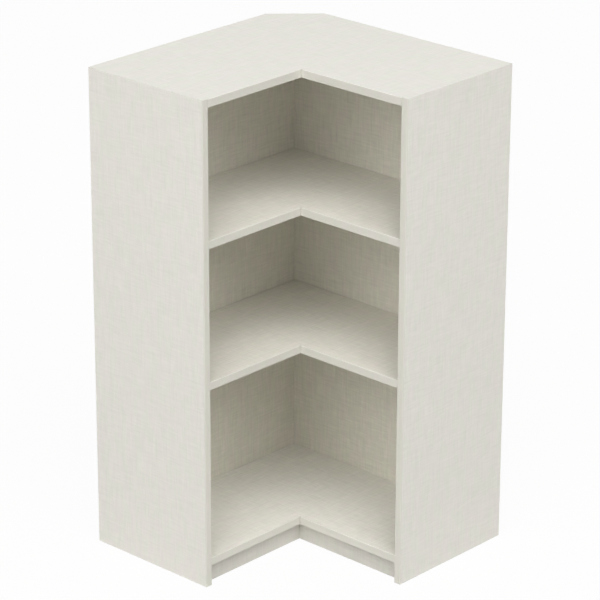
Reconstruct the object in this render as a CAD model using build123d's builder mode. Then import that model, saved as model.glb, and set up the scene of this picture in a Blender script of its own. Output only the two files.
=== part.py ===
from build123d import *

import os

# Corner wall cabinet: an open L-shaped carcass with two shelves, a clipped rear corner and a recessed base.
#
# Millimetres, +Z up. The two walls of the room stand at the planes x = LEFT_WALL and y = RIGHT_WALL, and
# the origin is at the centre of the cabinet's bounding square, level with the lower edges of its sides.
# The left wing runs along the left wall, the right wing along the right wall. Most places are given as a
# distance from the left wall (u) and from the right wall (v), so that the two wings share their sizes.

os.makedirs("parts", exist_ok=True)

# Carcass
WING_LENGTH = 610.0
WING_DEPTH = 324.0
CABINET_HEIGHT = 1067.0
SIDE_BOARD = 16.0
LEVEL_BOARD = 18.0
CORNER_CLIP = 90.0
BASE_HEIGHT = 44.0
UPPER_SHELF_HEIGHT = 750.0
LOWER_SHELF_HEIGHT = 442.0

# Backs, set in front of a service void, in grooves in the carcass boards
BACK = 6.0
SERVICE_VOID = 47.0
GROOVE_DEPTH = 8.0
GROOVE_SIDE_PLAY = 0.1
GROOVE_END_PLAY = 0.5

# Front edges
EDGE_BAND = 2.0
ARRIS = 0.8
BOARD_SETBACK = 2.0

# Fascias in the recess under the bottom board
FASCIA_BOARD = 16.0
FASCIA_SETBACK = 17.0

# Loose shelves
SHELF_END_GAP = 1.0
SHELF_REAR_GAP = 1.0
SHELF_SEAT_GAP = 0.3

# Rails at the wall and battens in the void
HANGING_RAIL_HEIGHT = 80.0
RAIL = 16.0
RAIL_CORNER_GAP = 1.0
BATTEN_WIDTH = 40.0
BATTEN_CORNER_DISTANCE = 76.0

# Steel angle behind the corner of the backs
ANGLE_LEG = 20.0
ANGLE_WALL = 1.2
ANGLE_END_GAP = 0.5
ANGLE_SCREW_PITCH = 190.0
ANGLE_SCREW_COUNT = 5

# Wood dowels
DOWEL_RADIUS = 4.0
DOWEL_LENGTH = 30.0
DOWEL_IN_FACE = 11.5
DOWEL_CHAMFER = 1.0
BORE_PLAY = 0.05
DOWEL_END_PLAY = 0.5

# Cam fittings, as distances from the board's front edge
CAM_FRONT = 37.0
DOWEL_FRONT = 69.0
DOWEL_REAR = 197.0
CAM_REAR = 229.0
CAM_RADIUS = 7.5
CAM_HEIGHT = 13.5
CAM_REACH = 24.0
CAM_SLOT_WIDTH = 1.6
CAM_SLOT_LENGTH = 10.0
CAM_SLOT_DEPTH = 2.5
CAM_BOLT_THREAD_RADIUS = 2.5
CAM_BOLT_THREAD_LENGTH = 11.0
CAM_BOLT_HEAD_RADIUS = 3.5
CAM_BOLT_HEAD_LENGTH = 6.0
CAM_BOLT_COLLAR = 2.0
CAM_BOLT_OVERREACH = 2.0
CAM_CHANNEL_RADIUS = 3.6

# Shelf pins
PIN_RADIUS = 2.5
PIN_DEPTH = 10.0
PIN_COLLAR_RADIUS = 4.0
PIN_COLLAR = 1.0
PIN_TONGUE_LENGTH = 12.0
PIN_TONGUE_WIDTH = 8.0
PIN_TONGUE = 2.0
PIN_BATTEN_DEPTH = 4.0

# Wood screws
SCREW_RADIUS = 2.0
SCREW_HEAD_RADIUS = 4.0
RAIL_SCREW_LENGTH = 38.0
RAIL_SCREW_OFFSET = 20.0
BATTEN_SCREW_LENGTH = 50.0
PAN_SCREW_RADIUS = 1.75
PAN_HEAD_RADIUS = 3.2
PAN_HEAD_HEIGHT = 1.8
PAN_HEAD_ROUND = 0.8
RECESS_LENGTH = 3.4
RECESS_WIDTH = 0.9
RECESS_DEPTH = 1.1
ANGLE_SCREW_LENGTH = 5.5
BRACKET_SCREW_LENGTH = 14.0

# Angle brackets under the bottom board
BRACKET_LEG = 20.0
BRACKET_WALL = 2.0
BRACKET_LENGTH = 30.0
BRACKET_END_DISTANCE = 60.0

# Wall fixing
WALL_HOLE_RADIUS = 3.25
WALL_HOLE_END_DISTANCE = 66.0
WALL_HOLE_SPACING = 160.0
ACCESS_HOLE_RADIUS = 7.5
CAP_PLAY = 0.1
CAP_RADIUS = 9.5
CAP_HEAD = 1.5
CAP_STEM = 5.0

# Worked out from the sizes above
LEFT_WALL = -WING_LENGTH / 2
RIGHT_WALL = WING_LENGTH / 2
END_FACE = WING_LENGTH - SIDE_BOARD
TOP_UNDERSIDE = CABINET_HEIGHT - LEVEL_BOARD
BOTTOM_TOP = BASE_HEIGHT + LEVEL_BOARD
BACK_FACE = SERVICE_VOID + BACK
SIDE_CORE = WING_DEPTH - EDGE_BAND
INNER_FRONT = WING_DEPTH - BOARD_SETBACK
INNER_CORE = INNER_FRONT - EDGE_BAND
FASCIA_FRONT = WING_DEPTH - FASCIA_SETBACK
FASCIA_REAR = FASCIA_FRONT - FASCIA_BOARD
RAIL_END = CORNER_CLIP + RAIL_CORNER_GAP
BATTEN_CENTRE = BATTEN_CORNER_DISTANCE + BATTEN_WIDTH / 2
HANGING_RAIL_CENTRE = TOP_UNDERSIDE - HANGING_RAIL_HEIGHT / 2
BASE_RAIL_CENTRE = BASE_HEIGHT / 2
WALL_HOLE_DISTANCES = (
    WING_LENGTH - WALL_HOLE_END_DISTANCE,
    WING_LENGTH - WALL_HOLE_END_DISTANCE - WALL_HOLE_SPACING,
)
TOP_JOINT_HEIGHT = TOP_UNDERSIDE + LEVEL_BOARD / 2
BOTTOM_JOINT_HEIGHT = BASE_HEIGHT + LEVEL_BOARD / 2

# The two wings are mirror images of each other across this plane through the room corner
HAND = Plane(origin=(0, 0, 0), z_dir=(1, 1, 0))

# Directions for drilling and driving on the left wing
TOWARDS_CORNER = (0, 1, 0)
TOWARDS_END = (0, -1, 0)
INTO_BAY = (1, 0, 0)
TOWARDS_WALL = (-1, 0, 0)
UP = (0, 0, 1)
DOWN = (0, 0, -1)


def at(u, v, z):
    """The point u from the left wall, v from the right wall and z above the base."""
    return (LEFT_WALL + u, RIGHT_WALL - v, z)


def facing(u, v, z, direction):
    """A plane at a point given from the walls, looking along a direction."""
    return Plane(origin=at(u, v, z), z_dir=direction)


def other_wing(plane):
    """The same place on the right wing as the given one on the left wing."""
    origin = plane.origin
    normal = plane.z_dir
    return Plane(origin=(-origin.Y, -origin.X, origin.Z), z_dir=(-normal.Y, -normal.X, normal.Z))


def both_wings(planes):
    """Places on the left wing, followed by their mirror images on the right wing."""
    return planes + [other_wing(plane) for plane in planes]


def block(u_range, v_range, z_range, mode=Mode.ADD):
    """A rectangular block between two distances from each wall and two heights."""
    with BuildSketch(Plane.XY.offset(z_range[0])) as outline:
        with Locations(at(sum(u_range) / 2, sum(v_range) / 2, 0)[:2]):
            Rectangle(u_range[1] - u_range[0], v_range[1] - v_range[0])
    extrude(outline.sketch, amount=z_range[1] - z_range[0], mode=mode)


def l_board(rear, front, end, underside, clip):
    """An L-shaped board, with its rear corner cut off at 45 degrees where clip is not zero."""
    corners = [(rear, rear), (end, rear), (end, front), (front, front), (front, end), (rear, end)]
    with BuildSketch(Plane.XY.offset(underside)) as outline:
        with BuildLine():
            Polyline(*[at(u, v, 0)[:2] for u, v in corners], close=True)
        make_face()
        if clip:
            chamfer(outline.vertices().sort_by_distance(at(rear, rear, 0))[0], clip)
    extrude(outline.sketch, amount=LEVEL_BOARD)


def front_edge_band(core, front, end, underside):
    """The front strip of an L-shaped board's left wing, mitred at the inner corner."""
    corners = [(core, core), (front, front), (front, end), (core, end)]
    with BuildSketch(Plane.XY.offset(underside)) as outline:
        with BuildLine():
            Polyline(*[at(u, v, 0)[:2] for u, v in corners], close=True)
        make_face()
    extrude(outline.sketch, amount=LEVEL_BOARD)
    outer_face = faces().filter_by(Axis.X).sort_by(Axis.X)[-1]
    fillet(outer_face.edges().filter_by(Axis.Y), ARRIS)


def back_grooves(floor):
    """Grooves for both backs, from a board's inner face to a depth along Z, ending at its ends."""
    near = SERVICE_VOID - GROOVE_SIDE_PLAY
    far = BACK_FACE + GROOVE_SIDE_PLAY
    block((near, far), (near, END_FACE), floor, Mode.SUBTRACT)
    block((near, END_FACE), (near, far), floor, Mode.SUBTRACT)


def bores(planes, radius, depth):
    """Blind round holes, drilled against the direction that each plane faces."""
    with Locations(*planes):
        Hole(radius=radius, depth=depth)


def countersunk_holes(planes, board):
    """Screw holes right through a board, countersunk from the face that each plane lies on."""
    with Locations(*planes):
        CounterSinkHole(
            radius=SCREW_RADIUS + BORE_PLAY,
            counter_sink_radius=SCREW_HEAD_RADIUS + BORE_PLAY,
            depth=board,
            counter_sink_angle=90,
        )


def dowels(planes):
    """Beech pegs with chamfered ends, seated in a panel's face behind each plane and standing out of it."""
    sections = (
        (-DOWEL_IN_FACE, DOWEL_RADIUS - DOWEL_CHAMFER),
        (DOWEL_CHAMFER - DOWEL_IN_FACE, DOWEL_RADIUS),
        (DOWEL_LENGTH - DOWEL_IN_FACE - DOWEL_CHAMFER, DOWEL_RADIUS),
        (DOWEL_LENGTH - DOWEL_IN_FACE, DOWEL_RADIUS - DOWEL_CHAMFER),
    )
    for plane in planes:
        turned(plane, sections)


def turned(plane, sections):
    """A turned piece on a plane's axis, from (distance along it, radius) pairs."""
    first, last = sections[0][0], sections[-1][0]
    with BuildSketch(Plane(origin=plane.origin, x_dir=plane.x_dir, z_dir=plane.y_dir * -1)) as profile:
        with BuildLine():
            Polyline((0, first), *[(radius, along) for along, radius in sections], (0, last), close=True)
        make_face()
    revolve(profile.sketch, axis=Axis(plane.origin, plane.z_dir))


def cross_recesses(planes, above):
    """Crosses cut into screw heads whose tops lie a distance above the given planes."""
    for plane in planes:
        top = plane.offset(above)
        with BuildSketch(top) as cross:
            Rectangle(RECESS_LENGTH, RECESS_WIDTH)
            Rectangle(RECESS_WIDTH, RECESS_LENGTH)
        extrude(cross.sketch, amount=-RECESS_DEPTH, mode=Mode.SUBTRACT)


def countersunk_screws(planes, length):
    """Wood screws with their 90 degree heads just under each plane, driven against its direction."""
    head = SCREW_HEAD_RADIUS - BORE_PLAY
    for plane in planes:
        turned(
            plane,
            (
                (-length, SCREW_RADIUS / 4),
                (-length + 2 * SCREW_RADIUS, SCREW_RADIUS),
                (-BORE_PLAY - (head - SCREW_RADIUS), SCREW_RADIUS),
                (-BORE_PLAY, head),
            ),
        )
    cross_recesses(planes, -BORE_PLAY)


def pan_screws(planes, length):
    """Short screws with a rounded head standing on each plane, driven against its direction."""
    for plane in planes:
        turned(
            plane,
            (
                (-length, PAN_SCREW_RADIUS / 4),
                (-length + PAN_SCREW_RADIUS, PAN_SCREW_RADIUS),
                (0, PAN_SCREW_RADIUS),
                (0, PAN_HEAD_RADIUS),
                (PAN_HEAD_HEIGHT - PAN_HEAD_ROUND, PAN_HEAD_RADIUS),
                (PAN_HEAD_HEIGHT, PAN_HEAD_RADIUS - PAN_HEAD_ROUND),
            ),
        )
    cross_recesses(planes, PAN_HEAD_HEIGHT)


def finish(part, name):
    """Labels a finished piece and writes its file."""
    part.label = name
    export_step(part, f"parts/{name}.step")


# Places on the left wing that two or more pieces share
end_dowel_places = [
    facing(SIDE_CORE - distance, END_FACE, height, TOWARDS_CORNER)
    for distance in (DOWEL_FRONT, DOWEL_REAR)
    for height in (TOP_JOINT_HEIGHT, BOTTOM_JOINT_HEIGHT)
]
cam_bolt_places = [
    facing(SIDE_CORE - distance, END_FACE, height, TOWARDS_CORNER)
    for distance in (CAM_FRONT, CAM_REAR)
    for height in (TOP_JOINT_HEIGHT, BOTTOM_JOINT_HEIGHT)
]
rail_dowel_places = [
    facing(RAIL / 2, END_FACE, centre + side * height / 4, TOWARDS_CORNER)
    for centre, height in ((HANGING_RAIL_CENTRE, HANGING_RAIL_HEIGHT), (BASE_RAIL_CENTRE, BASE_HEIGHT))
    for side in (-1, 1)
]
fascia_dowel_place = facing(FASCIA_FRONT - FASCIA_BOARD / 2, END_FACE, BASE_HEIGHT / 2, TOWARDS_CORNER)
fascia_corner_place = facing(FASCIA_FRONT, FASCIA_FRONT - FASCIA_BOARD / 2, BASE_HEIGHT / 2, INTO_BAY)
rail_screw_places = [
    facing(0, (RAIL_END + BATTEN_CORNER_DISTANCE + BATTEN_WIDTH) / 2, height, TOWARDS_WALL)
    for height in (HANGING_RAIL_CENTRE - RAIL_SCREW_OFFSET, HANGING_RAIL_CENTRE + RAIL_SCREW_OFFSET)
]
batten_screw_place = facing((RAIL + SERVICE_VOID) / 2, BATTEN_CENTRE, BASE_HEIGHT, DOWN)


def side_pin_places(shelf_underside):
    """The two pins of one shelf in the left side panel, facing into the wing."""
    height = shelf_underside - SHELF_SEAT_GAP - PIN_COLLAR_RADIUS
    return [facing(SIDE_CORE - distance, END_FACE, height, TOWARDS_CORNER) for distance in (CAM_FRONT, CAM_REAR)]


def back_pin_place(shelf_underside):
    """The pin of one shelf in the left back, facing into the bay."""
    return facing(BACK_FACE, BATTEN_CENTRE, shelf_underside - SHELF_SEAT_GAP - PIN_COLLAR_RADIUS, INTO_BAY)


all_side_pin_places = side_pin_places(UPPER_SHELF_HEIGHT) + side_pin_places(LOWER_SHELF_HEIGHT)
all_back_pin_places = [back_pin_place(UPPER_SHELF_HEIGHT), back_pin_place(LOWER_SHELF_HEIGHT)]

# Side panel: closes the end of the wing over its full height, grooved for the back
with BuildPart() as left_side_panel:
    block((0, SIDE_CORE), (END_FACE, WING_LENGTH), (0, CABINET_HEIGHT))
    block(
        (SERVICE_VOID - GROOVE_SIDE_PLAY, BACK_FACE + GROOVE_SIDE_PLAY),
        (END_FACE, END_FACE + GROOVE_DEPTH),
        (BOTTOM_TOP - GROOVE_DEPTH, TOP_UNDERSIDE + GROOVE_DEPTH),
        Mode.SUBTRACT,
    )
    peg_places = end_dowel_places + rail_dowel_places + [fascia_dowel_place]
    bores(peg_places, DOWEL_RADIUS + BORE_PLAY, DOWEL_IN_FACE + DOWEL_END_PLAY)
    bores(cam_bolt_places, CAM_BOLT_THREAD_RADIUS + BORE_PLAY, CAM_BOLT_THREAD_LENGTH + BORE_PLAY)
    bores(all_side_pin_places, PIN_RADIUS + BORE_PLAY, PIN_DEPTH)
finish(left_side_panel.part, "left_side_panel")

with BuildPart() as right_side_panel:
    mirror(left_side_panel.part, about=HAND)
finish(right_side_panel.part, "right_side_panel")

# Plastic strip on the side panel's front edge, with both arrises eased
with BuildPart() as left_side_edge_band:
    block((SIDE_CORE, WING_DEPTH), (END_FACE, WING_LENGTH), (0, CABINET_HEIGHT))
    front_face = left_side_edge_band.faces().sort_by(Axis.X)[-1]
    fillet(front_face.edges().filter_by(Axis.Z), ARRIS)
finish(left_side_edge_band.part, "left_side_edge_band")

with BuildPart() as right_side_edge_band:
    mirror(left_side_edge_band.part, about=HAND)
finish(right_side_edge_band.part, "right_side_edge_band")


def drill_board_ends(joint_height, underside):
    """Dowel holes, bolt channels and cam seats at both ends of the top or the bottom board."""
    pegs = [plane for plane in end_dowel_places if abs(plane.origin.Z - joint_height) < LEVEL_BOARD]
    bolts = [plane for plane in cam_bolt_places if abs(plane.origin.Z - joint_height) < LEVEL_BOARD]
    peg_ends = [Plane(origin=plane.origin, z_dir=plane.z_dir * -1) for plane in both_wings(pegs)]
    bolt_ends = [Plane(origin=plane.origin, z_dir=plane.z_dir * -1) for plane in both_wings(bolts)]
    seats = [cam_seat(plane, underside) for plane in both_wings(bolts)]
    bores(peg_ends, DOWEL_RADIUS + BORE_PLAY, DOWEL_LENGTH - DOWEL_IN_FACE + DOWEL_END_PLAY)
    bores(bolt_ends, CAM_CHANNEL_RADIUS, CAM_REACH)
    bores(seats, CAM_RADIUS + BORE_PLAY, CAM_HEIGHT + BORE_PLAY)


def cam_seat(bolt_plane, underside):
    """The place on a board's underside of the cam that draws in the bolt on the given plane."""
    centre = bolt_plane.origin + bolt_plane.z_dir * CAM_REACH
    return Plane(origin=(centre.X, centre.Y, underside), z_dir=DOWN)


# Top board: between the sides, its rear corner clipped, grooved underneath for the backs
with BuildPart() as top_panel:
    l_board(0, SIDE_CORE, END_FACE, TOP_UNDERSIDE, CORNER_CLIP)
    back_grooves((TOP_UNDERSIDE, TOP_UNDERSIDE + GROOVE_DEPTH))
    drill_board_ends(TOP_JOINT_HEIGHT, TOP_UNDERSIDE)
finish(top_panel.part, "top_panel")


def bracket_places(along):
    """Corners where an angle bracket sits under the bottom board, at a distance from the right wall."""
    return (
        facing(FASCIA_REAR, along, BASE_HEIGHT, TOWARDS_WALL),
        facing(RAIL, along, BASE_HEIGHT, INTO_BAY),
    )


fascia_bracket_places = [
    bracket_places(distance)[0]
    for distance in (FASCIA_FRONT + BRACKET_END_DISTANCE, END_FACE - BRACKET_END_DISTANCE)
]
rail_bracket_place = bracket_places(RAIL_END + BRACKET_END_DISTANCE)[1]
all_bracket_places = fascia_bracket_places + [rail_bracket_place]


def bracket_screw_places(place):
    """The two screws of a bracket: one up into the bottom board, one into the upright piece."""
    flat = place.origin + place.z_dir * (BRACKET_WALL + BRACKET_LEG) * 0.5
    flat = flat + Vector(0, 0, -BRACKET_WALL)
    upright = place.origin + place.z_dir * BRACKET_WALL
    upright = upright + Vector(0, 0, -(BRACKET_WALL + BRACKET_LEG) * 0.5)
    return Plane(origin=flat, z_dir=DOWN), Plane(origin=upright, z_dir=place.z_dir)


bracket_flat_screws = [bracket_screw_places(place)[0] for place in all_bracket_places]
bracket_upright_screws = [bracket_screw_places(place)[1] for place in all_bracket_places]


def screw_pilots(planes, length, radius, run):
    """Pilot holes under each plane, for screws whose heads sit a run above the piece's face."""
    faces = [Plane(origin=plane.origin - plane.z_dir * run, z_dir=plane.z_dir) for plane in planes]
    bores(faces, radius + BORE_PLAY, length - run + BORE_PLAY)


# Bottom board: set back a little from the sides' fronts, grooved on top for the backs
with BuildPart() as bottom_panel:
    l_board(0, INNER_CORE, END_FACE, BASE_HEIGHT, CORNER_CLIP)
    back_grooves((BOTTOM_TOP - GROOVE_DEPTH, BOTTOM_TOP))
    drill_board_ends(BOTTOM_JOINT_HEIGHT, BASE_HEIGHT)
    screw_pilots(both_wings(bracket_flat_screws), BRACKET_SCREW_LENGTH, PAN_SCREW_RADIUS, BRACKET_WALL)
    countersunk_holes(both_wings([batten_screw_place]), LEVEL_BOARD)
finish(bottom_panel.part, "bottom_panel")

# Shelves: loose L-shaped boards that lie on pins and lift off them
shelf_rear = BACK_FACE + SHELF_REAR_GAP
shelf_end = END_FACE - SHELF_END_GAP
for name, underside in (("upper_shelf", UPPER_SHELF_HEIGHT), ("lower_shelf", LOWER_SHELF_HEIGHT)):
    with BuildPart() as shelf:
        l_board(shelf_rear, INNER_CORE, shelf_end, underside, 0)
    finish(shelf.part, name)

# Plastic strips on the front edges of the four L-shaped boards, one on each wing
for name, core, front, end, underside in (
    ("top", SIDE_CORE, WING_DEPTH, END_FACE, TOP_UNDERSIDE),
    ("bottom", INNER_CORE, INNER_FRONT, END_FACE, BASE_HEIGHT),
    ("upper_shelf", INNER_CORE, INNER_FRONT, shelf_end, UPPER_SHELF_HEIGHT),
    ("lower_shelf", INNER_CORE, INNER_FRONT, shelf_end, LOWER_SHELF_HEIGHT),
):
    with BuildPart() as left_band:
        front_edge_band(core, front, end, underside)
    finish(left_band.part, f"{name}_left_edge_band")
    with BuildPart() as right_band:
        mirror(left_band.part, about=HAND)
    finish(right_band.part, f"{name}_right_edge_band")

# Backs: two thin panels that meet at a square inner corner, the left one running past the right one
back_heights = (BOTTOM_TOP - GROOVE_DEPTH + GROOVE_END_PLAY, TOP_UNDERSIDE + GROOVE_DEPTH - GROOVE_END_PLAY)
back_end = END_FACE + GROOVE_DEPTH - GROOVE_END_PLAY
access_places = [
    facing(BACK_FACE, distance, HANGING_RAIL_CENTRE, INTO_BAY) for distance in WALL_HOLE_DISTANCES
]
angle_screw_heights = [
    (BOTTOM_TOP + TOP_UNDERSIDE) / 2 + (index - (ANGLE_SCREW_COUNT - 1) / 2) * ANGLE_SCREW_PITCH
    for index in range(ANGLE_SCREW_COUNT)
]
angle_screw_distance = SERVICE_VOID - ANGLE_WALL + ANGLE_LEG * 0.6
angle_screw_places = [
    facing(SERVICE_VOID - ANGLE_WALL, angle_screw_distance, height, TOWARDS_WALL)
    for height in angle_screw_heights
]

with BuildPart() as left_back_panel:
    block((SERVICE_VOID, BACK_FACE), (SERVICE_VOID, back_end), back_heights)
    bores(access_places, ACCESS_HOLE_RADIUS, BACK)
    bores(all_back_pin_places, PIN_RADIUS + BORE_PLAY, BACK)
    screw_pilots(angle_screw_places, ANGLE_SCREW_LENGTH, PAN_SCREW_RADIUS, ANGLE_WALL)
finish(left_back_panel.part, "left_back_panel")

with BuildPart() as right_back_panel:
    block((BACK_FACE, back_end), (SERVICE_VOID, BACK_FACE), back_heights)
    bores([other_wing(plane) for plane in access_places], ACCESS_HOLE_RADIUS, BACK)
    bores([other_wing(plane) for plane in all_back_pin_places], PIN_RADIUS + BORE_PLAY, BACK)
    screw_pilots(
        [other_wing(plane) for plane in angle_screw_places], ANGLE_SCREW_LENGTH, PAN_SCREW_RADIUS, ANGLE_WALL
    )
finish(right_back_panel.part, "right_back_panel")

# Steel angle that holds the two backs together from behind
with BuildPart() as back_corner_angle:
    angle_outer = SERVICE_VOID - ANGLE_WALL
    angle_heights = (BOTTOM_TOP + ANGLE_END_GAP, TOP_UNDERSIDE - ANGLE_END_GAP)
    block((angle_outer, SERVICE_VOID), (angle_outer, angle_outer + ANGLE_LEG), angle_heights)
    block((angle_outer, angle_outer + ANGLE_LEG), (angle_outer, SERVICE_VOID), angle_heights)
    bores(both_wings(angle_screw_places), PAN_SCREW_RADIUS + BORE_PLAY, ANGLE_WALL)
finish(back_corner_angle.part, "back_corner_angle")

with BuildPart() as angle_screws:
    pan_screws(both_wings(angle_screw_places), ANGLE_SCREW_LENGTH)
finish(angle_screws.part, "angle_screws")

# Battens: stiffen the backs near the corner, hold their shelf pins and carry the rails' free ends
with BuildPart() as left_back_batten:
    batten_sides = (BATTEN_CORNER_DISTANCE, BATTEN_CORNER_DISTANCE + BATTEN_WIDTH)
    block((RAIL, SERVICE_VOID), batten_sides, (BOTTOM_TOP, TOP_UNDERSIDE))
    pin_seats = [Plane(origin=p.origin - p.z_dir * BACK, z_dir=p.z_dir) for p in all_back_pin_places]
    bores(pin_seats, PIN_RADIUS + BORE_PLAY, PIN_BATTEN_DEPTH)
    screw_pilots(rail_screw_places, RAIL_SCREW_LENGTH, SCREW_RADIUS, RAIL)
    screw_pilots([batten_screw_place], BATTEN_SCREW_LENGTH, SCREW_RADIUS, LEVEL_BOARD)
finish(left_back_batten.part, "left_back_batten")

with BuildPart() as right_back_batten:
    mirror(left_back_batten.part, about=HAND)
finish(right_back_batten.part, "right_back_batten")


def wall_rail(heights, centre):
    """A rail flat against the wall, from the side panel nearly to the clipped corner."""
    block((0, RAIL), (RAIL_END, END_FACE), heights)
    holes = [facing(RAIL, distance, centre, INTO_BAY) for distance in WALL_HOLE_DISTANCES]
    ends = [Plane(origin=plane.origin, z_dir=TOWARDS_END) for plane in rail_dowel_places]
    own_ends = [plane for plane in ends if heights[0] < plane.origin.Z < heights[1]]
    bores(holes, WALL_HOLE_RADIUS, RAIL)
    bores(own_ends, DOWEL_RADIUS + BORE_PLAY, DOWEL_LENGTH - DOWEL_IN_FACE + DOWEL_END_PLAY)


# Hanging rail: under the top board, takes the upper wall screws
with BuildPart() as left_hanging_rail:
    wall_rail((TOP_UNDERSIDE - HANGING_RAIL_HEIGHT, TOP_UNDERSIDE), HANGING_RAIL_CENTRE)
    countersunk_holes(rail_screw_places, RAIL)
finish(left_hanging_rail.part, "left_hanging_rail")

with BuildPart() as right_hanging_rail:
    mirror(left_hanging_rail.part, about=HAND)
finish(right_hanging_rail.part, "right_hanging_rail")

# Base rail: under the rear of the bottom board, takes the lower wall screws
with BuildPart() as left_base_rail:
    wall_rail((0, BASE_HEIGHT), BASE_RAIL_CENTRE)
    screw_pilots([bracket_upright_screws[-1]], BRACKET_SCREW_LENGTH, PAN_SCREW_RADIUS, BRACKET_WALL)
finish(left_base_rail.part, "left_base_rail")

with BuildPart() as right_base_rail:
    mirror(left_base_rail.part, about=HAND)
finish(right_base_rail.part, "right_base_rail")

# Fascias: close the front of the recess under the bottom board, the right one butted to the left one
fascia_end_bore = DOWEL_LENGTH - DOWEL_IN_FACE + DOWEL_END_PLAY
fascia_end_place = Plane(origin=fascia_dowel_place.origin, z_dir=TOWARDS_END)
fascia_corner_end = Plane(origin=fascia_corner_place.origin, z_dir=TOWARDS_WALL)

with BuildPart() as left_fascia:
    block((FASCIA_REAR, FASCIA_FRONT), (FASCIA_REAR, END_FACE), (0, BASE_HEIGHT))
    bores([fascia_end_place], DOWEL_RADIUS + BORE_PLAY, fascia_end_bore)
    bores([fascia_corner_place], DOWEL_RADIUS + BORE_PLAY, DOWEL_IN_FACE + DOWEL_END_PLAY)
    screw_pilots(bracket_upright_screws[:-1], BRACKET_SCREW_LENGTH, PAN_SCREW_RADIUS, BRACKET_WALL)
finish(left_fascia.part, "left_fascia")

with BuildPart() as right_fascia:
    block((FASCIA_FRONT, END_FACE), (FASCIA_REAR, FASCIA_FRONT), (0, BASE_HEIGHT))
    bores([other_wing(fascia_end_place), fascia_corner_end], DOWEL_RADIUS + BORE_PLAY, fascia_end_bore)
    right_uprights = [other_wing(plane) for plane in bracket_upright_screws[:-1]]
    screw_pilots(right_uprights, BRACKET_SCREW_LENGTH, PAN_SCREW_RADIUS, BRACKET_WALL)
finish(right_fascia.part, "right_fascia")

# Dowels of the carcass boards, the rails and the fascias
with BuildPart() as board_dowels:
    dowels(both_wings(end_dowel_places))
finish(board_dowels.part, "board_dowels")

with BuildPart() as rail_dowels:
    dowels(both_wings(rail_dowel_places))
finish(rail_dowels.part, "rail_dowels")

with BuildPart() as fascia_dowels:
    dowels(both_wings([fascia_dowel_place]) + [fascia_corner_place])
finish(fascia_dowels.part, "fascia_dowels")

# Cam fittings: bolts screwed into the sides, drawn in by cams let into the boards' undersides
with BuildPart() as cam_bolts:
    bolt_end = CAM_REACH + CAM_BOLT_OVERREACH
    for place in both_wings(cam_bolt_places):
        turned(
            place,
            (
                (-CAM_BOLT_THREAD_LENGTH, CAM_BOLT_THREAD_RADIUS),
                (0, CAM_BOLT_THREAD_RADIUS),
                (0, CAM_BOLT_HEAD_RADIUS),
                (CAM_BOLT_COLLAR, CAM_BOLT_HEAD_RADIUS),
                (CAM_BOLT_COLLAR, CAM_BOLT_THREAD_RADIUS),
                (bolt_end - CAM_BOLT_HEAD_LENGTH, CAM_BOLT_THREAD_RADIUS),
                (bolt_end - CAM_BOLT_HEAD_LENGTH, CAM_BOLT_HEAD_RADIUS),
                (bolt_end, CAM_BOLT_HEAD_RADIUS),
            ),
        )
finish(cam_bolts.part, "cam_bolts")

with BuildPart() as cam_locks:
    for place in cam_bolt_places:
        underside = TOP_UNDERSIDE if place.origin.Z > CABINET_HEIGHT / 2 else BASE_HEIGHT
        seat = cam_seat(place, underside)
        with BuildSketch(Plane.XY.offset(underside)):
            with Locations((seat.origin.X, seat.origin.Y)):
                Circle(CAM_RADIUS)
        extrude(amount=CAM_HEIGHT)
        with BuildSketch(Plane.XY.offset(underside)):
            with Locations((seat.origin.X, seat.origin.Y)):
                Rectangle(CAM_SLOT_LENGTH, CAM_SLOT_WIDTH)
        extrude(amount=CAM_SLOT_DEPTH, mode=Mode.SUBTRACT)
    bolt_ends = [Plane(origin=plane.origin, z_dir=plane.z_dir * -1) for plane in cam_bolt_places]
    bores(bolt_ends, CAM_CHANNEL_RADIUS, bolt_end + BORE_PLAY)
    mirror(about=HAND)
finish(cam_locks.part, "cam_locks")

# Screws through the hanging rails into the battens, and up through the bottom board into the battens
with BuildPart() as rail_screws:
    countersunk_screws(both_wings(rail_screw_places), RAIL_SCREW_LENGTH)
finish(rail_screws.part, "rail_screws")

with BuildPart() as batten_screws:
    countersunk_screws(both_wings([batten_screw_place]), BATTEN_SCREW_LENGTH)
finish(batten_screws.part, "batten_screws")

# Angle brackets that tie the fascias and the base rails to the bottom board
with BuildPart() as base_brackets:
    for place in all_bracket_places:
        start = place.origin.X - LEFT_WALL
        middle = RIGHT_WALL - place.origin.Y
        reach = place.z_dir.X
        flat_range = sorted((start, start + reach * BRACKET_LEG))
        upright_range = sorted((start, start + reach * BRACKET_WALL))
        length_range = (middle - BRACKET_LENGTH / 2, middle + BRACKET_LENGTH / 2)
        block(flat_range, length_range, (BASE_HEIGHT - BRACKET_WALL, BASE_HEIGHT))
        block(upright_range, length_range, (BASE_HEIGHT - BRACKET_LEG, BASE_HEIGHT))
    bores(bracket_flat_screws + bracket_upright_screws, PAN_SCREW_RADIUS + BORE_PLAY, BRACKET_WALL)
    mirror(about=HAND)
finish(base_brackets.part, "base_brackets")

with BuildPart() as bracket_screws:
    pan_screws(both_wings(bracket_flat_screws + bracket_upright_screws), BRACKET_SCREW_LENGTH)
finish(bracket_screws.part, "bracket_screws")


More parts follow.
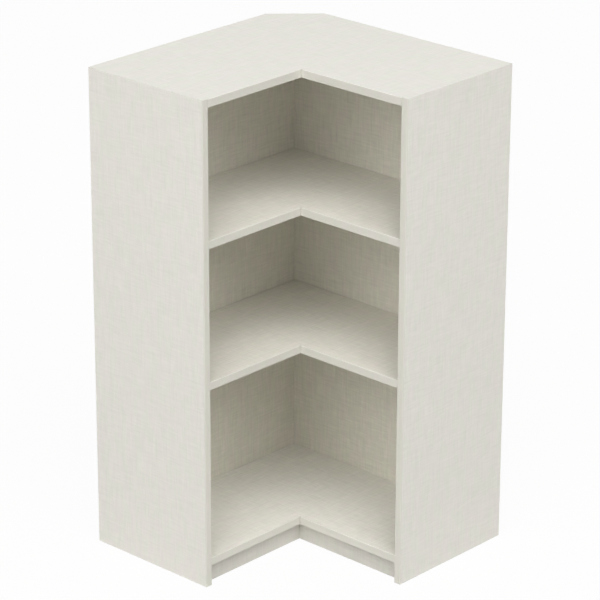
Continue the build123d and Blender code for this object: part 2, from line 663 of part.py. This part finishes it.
def shelf_pin(place):
    """A stepped pin with a flat tongue on top, pushed into a bore up to its collar."""
    turned(
        place,
        (
            (-PIN_DEPTH + BORE_PLAY, PIN_RADIUS),
            (0, PIN_RADIUS),
            (0, PIN_COLLAR_RADIUS),
            (PIN_COLLAR, PIN_COLLAR_RADIUS),
            (PIN_COLLAR, PIN_RADIUS),
            (PIN_TONGUE_LENGTH - PIN_TONGUE, PIN_RADIUS),
        ),
    )
    across = place.z_dir.cross(Vector(*UP))
    with BuildSketch(Plane(origin=place.origin, x_dir=across, z_dir=place.z_dir)) as tongue:
        with Locations((0, -(PIN_COLLAR_RADIUS - PIN_TONGUE / 2))):
            Rectangle(PIN_TONGUE_WIDTH, PIN_TONGUE)
    extrude(tongue.sketch, amount=PIN_TONGUE_LENGTH)


# Shelf pins: two in each side panel and one in each back, near the corner
for name, underside in (("upper_shelf_pins", UPPER_SHELF_HEIGHT), ("lower_shelf_pins", LOWER_SHELF_HEIGHT)):
    with BuildPart() as pins:
        for place in side_pin_places(underside) + [back_pin_place(underside)]:
            shelf_pin(place)
        mirror(about=HAND)
    finish(pins.part, name)

# Caps over the holes in the backs that give access to the upper wall screws
with BuildPart() as wall_screw_caps:
    for place in access_places:
        turned(
            place,
            (
                (-CAP_STEM, ACCESS_HOLE_RADIUS - CAP_PLAY),
                (0, ACCESS_HOLE_RADIUS - CAP_PLAY),
                (0, CAP_RADIUS),
                (CAP_HEAD / 3, CAP_RADIUS),
                (CAP_HEAD, CAP_RADIUS - CAP_HEAD),
            ),
        )
    mirror(about=HAND)
finish(wall_screw_caps.part, "wall_screw_caps")
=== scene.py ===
import math

import bpy
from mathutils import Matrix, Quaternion, Vector

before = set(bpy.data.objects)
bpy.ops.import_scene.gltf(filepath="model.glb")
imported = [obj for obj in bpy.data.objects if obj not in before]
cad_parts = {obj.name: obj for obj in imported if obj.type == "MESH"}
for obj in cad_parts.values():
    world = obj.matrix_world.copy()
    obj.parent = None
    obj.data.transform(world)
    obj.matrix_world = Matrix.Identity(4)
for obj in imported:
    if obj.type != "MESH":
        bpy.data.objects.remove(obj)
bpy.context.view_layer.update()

# ---------------------------------------------------------------------------
# Camera: a long lens from in front of the notch and above, aimed a little
# behind the inner front corner, as the cabinet is pictured.
# ---------------------------------------------------------------------------
view_azimuth = math.radians(42.886)
view_elevation = math.radians(21.767)
view_roll = math.radians(0.171)
view_distance = 6.551
aim = Vector((-0.0332, 0.0353, 0.5335))


def direction(azimuth, elevation):
    """The unit vector towards a place round the cabinet, from its two angles in radians.

    Azimuth 0 is on the -Y side and a right angle on the +X side. Elevation is the height above level.
    """
    return Vector((
        math.sin(azimuth) * math.cos(elevation),
        -math.cos(azimuth) * math.cos(elevation),
        math.sin(elevation),
    ))


camera = bpy.data.objects.new("camera", bpy.data.cameras.new("camera"))
bpy.context.scene.collection.objects.link(camera)
bpy.context.scene.camera = camera
camera.data.sensor_width = 36.0
camera.data.lens = 186.17
camera.data.clip_end = 60.0
outward = direction(view_azimuth, view_elevation)
camera.location = aim + outward * view_distance
camera.rotation_mode = "QUATERNION"
camera.rotation_quaternion = outward.to_track_quat("Z", "Y") @ Quaternion((0, 0, 1), view_roll)

# ---------------------------------------------------------------------------
# Studio: a pale floor that reads white but keeps the cabinet's shadow, large
# soft lamps high and low to both sides and high over the notch, two low ones
# behind, and a faint even dome of light.
# ---------------------------------------------------------------------------
bpy.context.scene.view_settings.view_transform = "Standard"


def add_node(tree, kind, **settings):
    """A node with its settings, where a setting named as a socket sets that socket's own value."""
    node = tree.nodes.new(kind)
    for name, value in settings.items():
        if hasattr(node, name):
            setattr(node, name, value)
        else:
            node.inputs[name.replace("_", " ")].default_value = value
    return node


def feed(tree, value, socket):
    """Links another node's output to a socket, or sets the socket to a plain value."""
    if isinstance(value, bpy.types.NodeSocket):
        tree.links.new(value, socket)
    else:
        socket.default_value = value


def math_node(tree, operation, first, second=None):
    """One operation on one or two values or outputs."""
    node = add_node(tree, "ShaderNodeMath", operation=operation)
    feed(tree, first, node.inputs[0])
    if second is not None:
        feed(tree, second, node.inputs[1])
    return node.outputs[0]


def new_material(name):
    """A material, with its node tree and its Principled shader."""
    material = bpy.data.materials.new(name)
    material.use_nodes = True
    return material, material.node_tree, material.node_tree.nodes["Principled BSDF"]


def show_glow(tree, share, lit, glow, surface):
    """A share of a glow on a lit shader, for rays from the camera, a gloss or a transmission.

    The mask is the largest of the three ray masks, and all other rays meet the lit shader alone.
    """
    path = add_node(tree, "ShaderNodeLightPath")
    seen = math_node(tree, "MAXIMUM", path.outputs["Is Camera Ray"], path.outputs["Is Glossy Ray"])
    seen = math_node(tree, "MAXIMUM", seen, path.outputs["Is Transmission Ray"])
    mix = add_node(tree, "ShaderNodeMixShader")
    tree.links.new(math_node(tree, "MULTIPLY", seen, share), mix.inputs[0])
    tree.links.new(lit.outputs[0], mix.inputs[1])
    tree.links.new(glow.outputs[0], mix.inputs[2])
    tree.links.new(mix.outputs[0], surface)


white = (1, 1, 1, 1)
dome_strength = 0.01
world = bpy.data.worlds.new("studio dome")
bpy.context.scene.world = world
world.use_nodes = True
sky = world.node_tree
sky.nodes.clear()
dome = add_node(sky, "ShaderNodeBackground", Color=white, Strength=dome_strength)
backdrop = add_node(sky, "ShaderNodeBackground", Color=white, Strength=1.0)
sky_output = add_node(sky, "ShaderNodeOutputWorld")
show_glow(sky, 1.0, dome, backdrop, sky_output.inputs["Surface"])

floor_half = 20.0
floor_drop = 0.0005
floor_glow_share = 0.96
floor_colour = (0.66, 0.653, 0.64, 1)
floor_corners = [
    (x * floor_half, y * floor_half, -floor_drop)
    for x, y in ((-1, -1), (1, -1), (1, 1), (-1, 1))
]
floor_mesh = bpy.data.meshes.new("floor")
floor_mesh.from_pydata(floor_corners, [], [(0, 1, 2, 3)])
floor = bpy.data.objects.new("floor", floor_mesh)
bpy.context.scene.collection.objects.link(floor)
floor_paint, floor_tree, floor_shader = new_material("studio floor")
floor_shader.inputs["Base Color"].default_value = floor_colour
floor_shader.inputs["Roughness"].default_value = 0.9
floor_shader.inputs["Specular IOR Level"].default_value = 0.1
floor_glow = add_node(floor_tree, "ShaderNodeEmission", Color=white, Strength=1.0)
floor_surface = floor_tree.nodes["Material Output"].inputs["Surface"]
show_glow(floor_tree, floor_glow_share, floor_shader, floor_glow, floor_surface)
floor_mesh.materials.append(floor_paint)

lamp_side = 10.8
lamp_distance = 15.0
lamp_aim = Vector((0, 0, 0.55))


def studio_lamp(name, azimuth, elevation, power):
    """A square white lamp aimed at the middle of the cabinet, from its two angles in degrees."""
    away = direction(math.radians(azimuth), math.radians(elevation))
    lamp = bpy.data.lights.new(name, "AREA")
    lamp.shape = "SQUARE"
    lamp.size = lamp_side
    lamp.energy = power
    holder = bpy.data.objects.new(name, lamp)
    bpy.context.scene.collection.objects.link(holder)
    holder.location = lamp_aim + away * lamp_distance
    holder.rotation_mode = "QUATERNION"
    holder.rotation_quaternion = away.to_track_quat("Z", "Y")


studio_lamp("left lamp", azimuth=16, elevation=50, power=723.0)
studio_lamp("low left lamp", azimuth=16, elevation=25, power=747.0)
studio_lamp("high front lamp", azimuth=43, elevation=66, power=349.0)
studio_lamp("right lamp", azimuth=70, elevation=50, power=1405.0)
studio_lamp("low right lamp", azimuth=72, elevation=25, power=219.0)
studio_lamp("rear left lamp", azimuth=262, elevation=14, power=479.0)
studio_lamp("rear right lamp", azimuth=184, elevation=14, power=479.0)

# ---------------------------------------------------------------------------
# Side panels: melamine-faced board, off-white, with a fine embossed linen
# weave on both faces and bare chipboard on the rear and lower edges.
# ---------------------------------------------------------------------------
facing_share = 0.6


def board_plane_group():
    """Distances in metres across and along the face that a point lies on.

    A face that looks along X is measured in Y and Z, one that looks along Y in X and Z, and one that
    looks along Z in X and Y. A face looks along the axis that has more than the facing share of its
    normal.
    """
    group = bpy.data.node_groups.new("board plane", "ShaderNodeTree")
    group.interface.new_socket("Across", in_out="OUTPUT", socket_type="NodeSocketFloat")
    group.interface.new_socket("Along", in_out="OUTPUT", socket_type="NodeSocketFloat")
    output = add_node(group, "NodeGroupOutput")
    place = add_node(group, "ShaderNodeTexCoord")
    position = add_node(group, "ShaderNodeSeparateXYZ")
    group.links.new(place.outputs["Object"], position.inputs[0])
    surface = add_node(group, "ShaderNodeNewGeometry")
    normal = add_node(group, "ShaderNodeSeparateXYZ")
    group.links.new(surface.outputs["True Normal"], normal.inputs[0])
    for measure, axis in (("Across", "X"), ("Along", "Z")):
        share = math_node(group, "ABSOLUTE", normal.outputs[axis])
        looks_along = math_node(group, "GREATER_THAN", share, facing_share)
        step = math_node(group, "SUBTRACT", position.outputs["Y"], position.outputs[axis])
        moved = math_node(group, "MULTIPLY", step, looks_along)
        total = math_node(group, "ADD", position.outputs[axis], moved)
        group.links.new(total, output.inputs[measure])
    return group


board_plane = board_plane_group()


def streaks(tree, plane, across, along, detail=2.0):
    """Noise drawn out into streaks, from its cells per metre across and along the face."""
    combine = add_node(tree, "ShaderNodeCombineXYZ")
    tree.links.new(math_node(tree, "MULTIPLY", plane.outputs["Across"], across), combine.inputs["X"])
    tree.links.new(math_node(tree, "MULTIPLY", plane.outputs["Along"], along), combine.inputs["Y"])
    noise = add_node(tree, "ShaderNodeTexNoise", noise_dimensions="3D", Scale=1.0, Detail=detail)
    tree.links.new(combine.outputs[0], noise.inputs["Vector"])
    return noise.outputs["Fac"]


def crossed(tree, first, second):
    """Two sets of streaks laid over each other, swinging round 0."""
    return math_node(tree, "ADD", math_node(tree, "ADD", first, second), -1.0)


def two_tone(tree, value, dark, light, dark_up_to=0.3, light_from=0.7):
    """A colour that turns from one to another as a value rises between two limits."""
    ramp = add_node(tree, "ShaderNodeValToRGB")
    ramp.color_ramp.elements[0].position = dark_up_to
    ramp.color_ramp.elements[0].color = (*dark, 1)
    ramp.color_ramp.elements[1].position = light_from
    ramp.color_ramp.elements[1].color = (*light, 1)
    tree.links.new(value, ramp.inputs["Fac"])
    return ramp.outputs["Color"]


def mixed(tree, kind, factor, first, second, **settings):
    """The first colour or value turned into the second by a factor from 0 to 1."""
    node = add_node(tree, "ShaderNodeMix", data_type=kind, **settings)
    feed(tree, factor, node.inputs["Factor"])
    feed(tree, first, node.inputs["A"])
    feed(tree, second, node.inputs["B"])
    return node.outputs["Result"]


weave_roughness = 0.55


def linen_weave_group():
    """Colour, roughness and height of the embossed linen weave.

    Two sets of fine streaks cross each other as warp and weft, a coarser pair makes the slubs, and
    soft patches shade the colour slightly to green or to pink. The colour's value swings round 1 by
    the weave's strength and the roughness round its middle, both with the threads and a share of
    the slubs. The height is the sum of the threads and a share of finer ones.
    """
    group = bpy.data.node_groups.new("linen weave", "ShaderNodeTree")
    group.interface.new_socket("Base Color", in_out="INPUT", socket_type="NodeSocketColor")
    group.interface.new_socket("Strength", in_out="INPUT", socket_type="NodeSocketFloat")
    group.interface.new_socket("Color", in_out="OUTPUT", socket_type="NodeSocketColor")
    group.interface.new_socket("Roughness", in_out="OUTPUT", socket_type="NodeSocketFloat")
    group.interface.new_socket("Height", in_out="OUTPUT", socket_type="NodeSocketFloat")
    source = add_node(group, "NodeGroupInput")
    output = add_node(group, "NodeGroupOutput")
    plane = add_node(group, "ShaderNodeGroup", node_tree=board_plane)

    warp = streaks(group, plane, across=260.0, along=20.0)
    weft = streaks(group, plane, across=26.0, along=250.0)
    slub_warp = streaks(group, plane, across=95.0, along=14.0)
    slub_weft = streaks(group, plane, across=16.0, along=110.0)
    fine_warp = streaks(group, plane, across=1600.0, along=120.0)
    fine_weft = streaks(group, plane, across=120.0, along=1600.0)
    threads = crossed(group, warp, weft)
    slubs = crossed(group, slub_warp, slub_weft)
    fine = crossed(group, fine_warp, fine_weft)
    slub_share, fine_share, roughness_share = 0.6, 0.6, 0.12
    swing = math_node(group, "ADD", threads, math_node(group, "MULTIPLY", slubs, slub_share))
    value_swing = math_node(group, "MULTIPLY", swing, source.outputs["Strength"])
    value = math_node(group, "ADD", value_swing, 1.0)

    patches = streaks(group, plane, across=42.0, along=18.0, detail=1.0)
    greenish, pinkish = (0.976, 1.0, 0.957), (1.0, 0.983, 0.979)
    tint = two_tone(group, patches, greenish, pinkish, dark_up_to=0.36, light_from=0.64)
    tinted = mixed(group, "RGBA", 1.0, source.outputs["Base Color"], tint, blend_type="MULTIPLY")
    shade = add_node(group, "ShaderNodeHueSaturation")
    group.links.new(tinted, shade.inputs["Color"])
    group.links.new(value, shade.inputs["Value"])
    group.links.new(shade.outputs["Color"], output.inputs["Color"])

    rough_swing = math_node(group, "MULTIPLY", swing, roughness_share)
    rough = math_node(group, "ADD", rough_swing, weave_roughness)
    group.links.new(rough, output.inputs["Roughness"])
    height = math_node(group, "ADD", math_node(group, "MULTIPLY", fine, fine_share), threads)
    group.links.new(height, output.inputs["Height"])
    return group


linen_weave = linen_weave_group()


def chipboard_group():
    """Colour and height of a cut chipboard edge.

    It shows cells drawn out along the board as flakes, each in its own brown and highest in its
    middle, with low gaps between.
    """
    flakes_across, flakes_along = 700.0, 260.0
    dark_flake, light_flake = (0.245, 0.150, 0.080, 1), (0.560, 0.410, 0.255, 1)
    brown_flake = (0.420, 0.290, 0.170, 1)
    group = bpy.data.node_groups.new("chipboard edge", "ShaderNodeTree")
    group.interface.new_socket("Color", in_out="OUTPUT", socket_type="NodeSocketColor")
    group.interface.new_socket("Height", in_out="OUTPUT", socket_type="NodeSocketFloat")
    output = add_node(group, "NodeGroupOutput")
    plane = add_node(group, "ShaderNodeGroup", node_tree=board_plane)
    combine = add_node(group, "ShaderNodeCombineXYZ")
    across = math_node(group, "MULTIPLY", plane.outputs["Across"], flakes_across)
    along = math_node(group, "MULTIPLY", plane.outputs["Along"], flakes_along)
    group.links.new(across, combine.inputs["X"])
    group.links.new(along, combine.inputs["Y"])
    flakes = add_node(group, "ShaderNodeTexVoronoi", feature="F1", Scale=1.0)
    group.links.new(combine.outputs[0], flakes.inputs["Vector"])
    cell = add_node(group, "ShaderNodeSeparateColor")
    group.links.new(flakes.outputs["Color"], cell.inputs[0])
    shade = add_node(group, "ShaderNodeValToRGB")
    shade.color_ramp.elements[0].color = dark_flake
    shade.color_ramp.elements[1].color = light_flake
    middle = shade.color_ramp.elements.new(0.5)
    middle.color = brown_flake
    group.links.new(cell.outputs["Red"], shade.inputs["Fac"])
    group.links.new(shade.outputs["Color"], output.inputs["Color"])
    height = math_node(group, "SUBTRACT", 1.0, flakes.outputs["Distance"])
    group.links.new(height, output.inputs["Height"])
    return group


chipboard = chipboard_group()


def emboss(tree, shader, height, strength, depth):
    """Bumps the shader's normal by a height, with a strength and a depth in metres."""
    bump = add_node(tree, "ShaderNodeBump", Strength=strength, Distance=depth)
    tree.links.new(height, bump.inputs["Height"])
    tree.links.new(bump.outputs["Normal"], shader.inputs["Normal"])


board_gloss = 0.35
chipboard_roughness = 0.9


def faced_board(name, colour, strength, bare):
    """Melamine-faced board: the linen weave on every face but those that look along a bare direction.

    bare is a list of unit vectors. A face is bare where the dot product of its normal with one of
    them is over the facing share, and there the chipboard's core shows.
    """
    material, tree, shader = new_material(name)
    shader.inputs["Specular IOR Level"].default_value = board_gloss
    weave = add_node(tree, "ShaderNodeGroup", node_tree=linen_weave)
    weave.inputs["Base Color"].default_value = (*colour, 1)
    weave.inputs["Strength"].default_value = strength
    core = add_node(tree, "ShaderNodeGroup", node_tree=chipboard)
    surface = add_node(tree, "ShaderNodeNewGeometry")
    mask = 0.0
    for bare_direction in bare:
        dot = add_node(tree, "ShaderNodeVectorMath", operation="DOT_PRODUCT")
        dot.inputs[1].default_value = bare_direction
        tree.links.new(surface.outputs["True Normal"], dot.inputs[0])
        here = math_node(tree, "GREATER_THAN", dot.outputs["Value"], facing_share)
        mask = math_node(tree, "MAXIMUM", mask, here)
    shown = mixed(tree, "RGBA", mask, weave.outputs["Color"], core.outputs["Color"])
    tree.links.new(shown, shader.inputs["Base Color"])
    rough = mixed(tree, "FLOAT", mask, weave.outputs["Roughness"], chipboard_roughness)
    tree.links.new(rough, shader.inputs["Roughness"])
    height = mixed(tree, "FLOAT", mask, weave.outputs["Height"], core.outputs["Height"])
    emboss(tree, shader, height, strength=0.35, depth=0.00015)
    return material


def dress(material, *names):
    """Gives CAD nodes their finish."""
    for name in names:
        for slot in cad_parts[name].material_slots:
            slot.material = material


towards_left_wall = (-1, 0, 0)
towards_right_wall = (0, 1, 0)
downwards = (0, 0, -1)
side_white = (0.745, 0.727, 0.690)
side_weave = 0.12

for side, rear in (("left", towards_left_wall), ("right", towards_right_wall)):
    side_board = faced_board(f"{side} side board", side_white, side_weave, [rear, downwards])
    dress(side_board, f"{side}_side_panel")

# ---------------------------------------------------------------------------
# Top, bottom and shelves: the same board lying flat, bare on the edges that
# face the walls and the clipped corner. Painted light tints the shelves warmer
# and makes the bottom board lighter.
# ---------------------------------------------------------------------------
towards_corner = (-0.7071, 0.7071, 0)
towards_walls = [towards_left_wall, towards_right_wall, towards_corner]
top_white, top_weave = (0.745, 0.728, 0.690), 0.12
# The shelves' warmer colour is a painted tint of bounce light, on the same board as the sides.
shelf_bounce_white, shelf_weave = (0.752, 0.728, 0.672), 0.18
# The bottom board's lighter colour is painted light, on the same board as the shelves.
bottom_lit_white, bottom_weave = (0.800, 0.780, 0.735), 0.18

top_board = faced_board("top board", top_white, top_weave, towards_walls)
dress(top_board, "top_panel")
shelf_board = faced_board("shelf board", shelf_bounce_white, shelf_weave, towards_walls)
dress(shelf_board, "upper_shelf", "lower_shelf")
bottom_board = faced_board("bottom board", bottom_lit_white, bottom_weave, towards_walls)
dress(bottom_board, "bottom_panel")

# ---------------------------------------------------------------------------
# Backs: thin faced board, held in grooves in the sides, the top and the
# bottom, which hide its edges.
# ---------------------------------------------------------------------------
# The backs' warmer colour is a painted tint of bounce light, on the same board as the sides.
back_bounce_white, back_weave = (0.752, 0.726, 0.654), 0.21

back_board = faced_board("back board", back_bounce_white, back_weave, [downwards])
dress(back_board, "left_back_panel", "right_back_panel")

# ---------------------------------------------------------------------------
# Fascias: upright strips of faced board in the recess under the bottom board,
# with a bare lower edge, their colour darkened by painted shade of the recess.
# ---------------------------------------------------------------------------
# The fascias' darker colour is painted shade of the recess under the bottom board.
fascia_shaded_white, fascia_weave = (0.635, 0.618, 0.580), 0.14

fascia_board = faced_board("fascia board", fascia_shaded_white, fascia_weave, [downwards])
dress(fascia_board, "left_fascia", "right_fascia")

# ---------------------------------------------------------------------------
# Rails at the wall and battens in the void: strips ripped from faced board,
# so that their long edges show the chipboard, and the battens' ends too.
# ---------------------------------------------------------------------------
upwards = (0, 0, 1)
towards_left_front = (0, -1, 0)
towards_right_front = (1, 0, 0)
rail_white, rail_weave = (0.640, 0.630, 0.600), 0.10

rail_board = faced_board("rail board", rail_white, rail_weave, [upwards, downwards])
dress(rail_board, "left_hanging_rail", "right_hanging_rail", "left_base_rail", "right_base_rail")
for side, ripped_edges in (
    ("left", [towards_left_front, towards_right_wall]),
    ("right", [towards_right_front, towards_left_wall]),
):
    bare_faces = [*ripped_edges, upwards, downwards]
    batten_board = faced_board(f"{side} batten board", rail_white, rail_weave, bare_faces)
    dress(batten_board, f"{side}_back_batten")

# ---------------------------------------------------------------------------
# Edge strips: off-white plastic glued on the front edges, satin, with a rounded
# arris that carries a painted highlight, and painted shade at the mitre.
# ---------------------------------------------------------------------------
strip_weave = 0.03


def strip_plastic(name, colour, highlight_colour, roughness):
    """Satin plastic with a faint drawn grain, a painted arris highlight and painted mitre shade.

    The painted highlight lies where the normal's upward share is between two limits. The mitre of
    the two wings' strips lies on the plane where X and Y add up to nothing, and the painted shade
    of its inner corner fades out along them.
    """
    arris_from, arris_up_to = 0.2, 0.95
    shade_core, shade_reach = 0.0012, 0.0035
    mitre_shade_colour, no_shade = (0.86, 0.855, 0.84), (1, 1, 1)
    material, tree, shader = new_material(name)
    shader.inputs["Specular IOR Level"].default_value = board_gloss
    weave = add_node(tree, "ShaderNodeGroup", node_tree=linen_weave)
    weave.inputs["Base Color"].default_value = (*colour, 1)
    weave.inputs["Strength"].default_value = strip_weave
    surface = add_node(tree, "ShaderNodeNewGeometry")
    normal = add_node(tree, "ShaderNodeSeparateXYZ")
    tree.links.new(surface.outputs["True Normal"], normal.inputs[0])
    # Painted highlight: a lighter colour on the arris faces that lean upwards, where the light falls on
    # them.
    rises = math_node(tree, "GREATER_THAN", normal.outputs["Z"], arris_from)
    leans = math_node(tree, "LESS_THAN", normal.outputs["Z"], arris_up_to)
    on_arris = math_node(tree, "MULTIPLY", rises, leans)
    arris_highlighted = mixed(tree, "RGBA", on_arris, weave.outputs["Color"], (*highlight_colour, 1))
    place = add_node(tree, "ShaderNodeTexCoord")
    position = add_node(tree, "ShaderNodeSeparateXYZ")
    tree.links.new(place.outputs["Object"], position.inputs[0])
    # Painted shade: the strips darken towards the mitre's inner corner, where shade falls in the crease.
    offset = math_node(tree, "ADD", position.outputs["X"], position.outputs["Y"])
    away = math_node(tree, "DIVIDE", math_node(tree, "ABSOLUTE", offset), shade_reach)
    core_share = shade_core / shade_reach
    mitre_shading = two_tone(tree, away, mitre_shade_colour, no_shade, dark_up_to=core_share, light_from=1.0)
    mitre_shaded = mixed(tree, "RGBA", 1.0, arris_highlighted, mitre_shading, blend_type="MULTIPLY")
    tree.links.new(mitre_shaded, shader.inputs["Base Color"])
    rough = math_node(tree, "ADD", weave.outputs["Roughness"], roughness - weave_roughness)
    tree.links.new(rough, shader.inputs["Roughness"])
    emboss(tree, shader, weave.outputs["Height"], strength=0.2, depth=0.0001)
    return material


# The arris colour is a painted highlight, lighter than the strip's own white.
strip_white, strip_highlight_white = (0.672, 0.655, 0.607), (0.86, 0.84, 0.80)

edge_strip = strip_plastic("edge strip", strip_white, strip_highlight_white, roughness=0.45)
dress(edge_strip, "left_side_edge_band", "right_side_edge_band")
for board in ("top", "bottom", "upper_shelf", "lower_shelf"):
    dress(edge_strip, f"{board}_left_edge_band", f"{board}_right_edge_band")

# ---------------------------------------------------------------------------
# Metal fittings: die-cast cams, plated screws and bolts, sheet-steel brackets
# and angle, and nickel-plated shelf pins.
# ---------------------------------------------------------------------------


def fine_noise(tree, scale, detail):
    """Noise in the piece's own coordinates, from its cells per metre."""
    place = add_node(tree, "ShaderNodeTexCoord")
    noise = add_node(tree, "ShaderNodeTexNoise", Scale=scale, Detail=detail)
    tree.links.new(place.outputs["Object"], noise.inputs["Vector"])
    return noise.outputs["Fac"]


roughness_swing = 0.2


def mottle(tree, shader, noise, dark, light, least_roughness):
    """Colours a shader between two tones with a noise, and adds a share of the noise to its roughness."""
    tree.links.new(two_tone(tree, noise, dark, light), shader.inputs["Base Color"])
    rough = math_node(tree, "ADD", math_node(tree, "MULTIPLY", noise, roughness_swing), least_roughness)
    tree.links.new(rough, shader.inputs["Roughness"])


dull_share = 0.86


def plated_metal(name, colour, least_roughness):
    """Plated metal: fine mottling in roughness, and in colour between a duller tone and the full one."""
    material, tree, shader = new_material(name)
    shader.inputs["Metallic"].default_value = 1.0
    duller = [dull_share * part for part in colour]
    grains = fine_noise(tree, scale=900.0, detail=3.0)
    mottle(tree, shader, grains, duller, colour, least_roughness)
    return material


zinc = plated_metal("die-cast zinc", (0.42, 0.42, 0.41), least_roughness=0.4)
plated_steel = plated_metal("plated steel", (0.55, 0.54, 0.51), least_roughness=0.25)
sheet_steel = plated_metal("galvanised sheet", (0.52, 0.53, 0.53), least_roughness=0.32)
nickel = plated_metal("nickel plate", (0.62, 0.60, 0.57), least_roughness=0.12)
dress(zinc, "cam_locks")
dress(plated_steel, "cam_bolts", "rail_screws", "batten_screws", "bracket_screws", "angle_screws")
dress(sheet_steel, "base_brackets", "back_corner_angle")
dress(nickel, "upper_shelf_pins", "lower_shelf_pins")

# ---------------------------------------------------------------------------
# Dowels: turned beech pegs with the grain along them, glued into both of the
# boards that they join.
# ---------------------------------------------------------------------------
grain_along, grain_across = 60.0, 1400.0
beech_dark, beech_light = (0.40, 0.235, 0.120), (0.62, 0.415, 0.245)

beech, beech_tree, beech_shader = new_material("beech")
beech_place = add_node(beech_tree, "ShaderNodeTexCoord")
beech_position = add_node(beech_tree, "ShaderNodeSeparateXYZ")
beech_tree.links.new(beech_place.outputs["Object"], beech_position.inputs[0])
beech_surface = add_node(beech_tree, "ShaderNodeNewGeometry")
beech_normal = add_node(beech_tree, "ShaderNodeSeparateXYZ")
beech_tree.links.new(beech_surface.outputs["True Normal"], beech_normal.inputs[0])
# A dowel that lies along X has no normal along X on its round side, so where the normal's share
# along Y is the larger one, the dowel is taken to lie along X, and elsewhere along Y.
share_x = math_node(beech_tree, "ABSOLUTE", beech_normal.outputs["X"])
share_y = math_node(beech_tree, "ABSOLUTE", beech_normal.outputs["Y"])
lies_along_x = math_node(beech_tree, "GREATER_THAN", share_y, share_x)
lies_along_y = math_node(beech_tree, "SUBTRACT", 1.0, lies_along_x)
beech_drawn = add_node(beech_tree, "ShaderNodeCombineXYZ")
for axis, lies_along in (("X", lies_along_x), ("Y", lies_along_y)):
    fewer = math_node(beech_tree, "MULTIPLY", lies_along, grain_along - grain_across)
    cells = math_node(beech_tree, "ADD", fewer, grain_across)
    stretched = math_node(beech_tree, "MULTIPLY", beech_position.outputs[axis], cells)
    beech_tree.links.new(stretched, beech_drawn.inputs[axis])
upright = math_node(beech_tree, "MULTIPLY", beech_position.outputs["Z"], grain_across)
beech_tree.links.new(upright, beech_drawn.inputs["Z"])
beech_grain = add_node(beech_tree, "ShaderNodeTexNoise", Scale=1.0, Detail=4.0)
beech_tree.links.new(beech_drawn.outputs[0], beech_grain.inputs["Vector"])
beech_streaks = beech_grain.outputs["Fac"]
mottle(beech_tree, beech_shader, beech_streaks, beech_dark, beech_light, least_roughness=0.5)
emboss(beech_tree, beech_shader, beech_streaks, strength=0.3, depth=0.00005)
dress(beech, "board_dowels", "rail_dowels", "fascia_dowels")

# ---------------------------------------------------------------------------
# Caps: small moulded plastic discs, pressed into the holes in the backs that
# give access to the upper wall screws.
# ---------------------------------------------------------------------------
cap_dark, cap_light = (0.715, 0.700, 0.655), (0.775, 0.760, 0.715)

cap_plastic, cap_tree, cap_shader = new_material("cap plastic")
cap_grains = fine_noise(cap_tree, scale=2500.0, detail=2.0)
mottle(cap_tree, cap_shader, cap_grains, cap_dark, cap_light, least_roughness=0.4)
emboss(cap_tree, cap_shader, cap_grains, strength=0.15, depth=0.00005)
dress(cap_plastic, "wall_screw_caps")
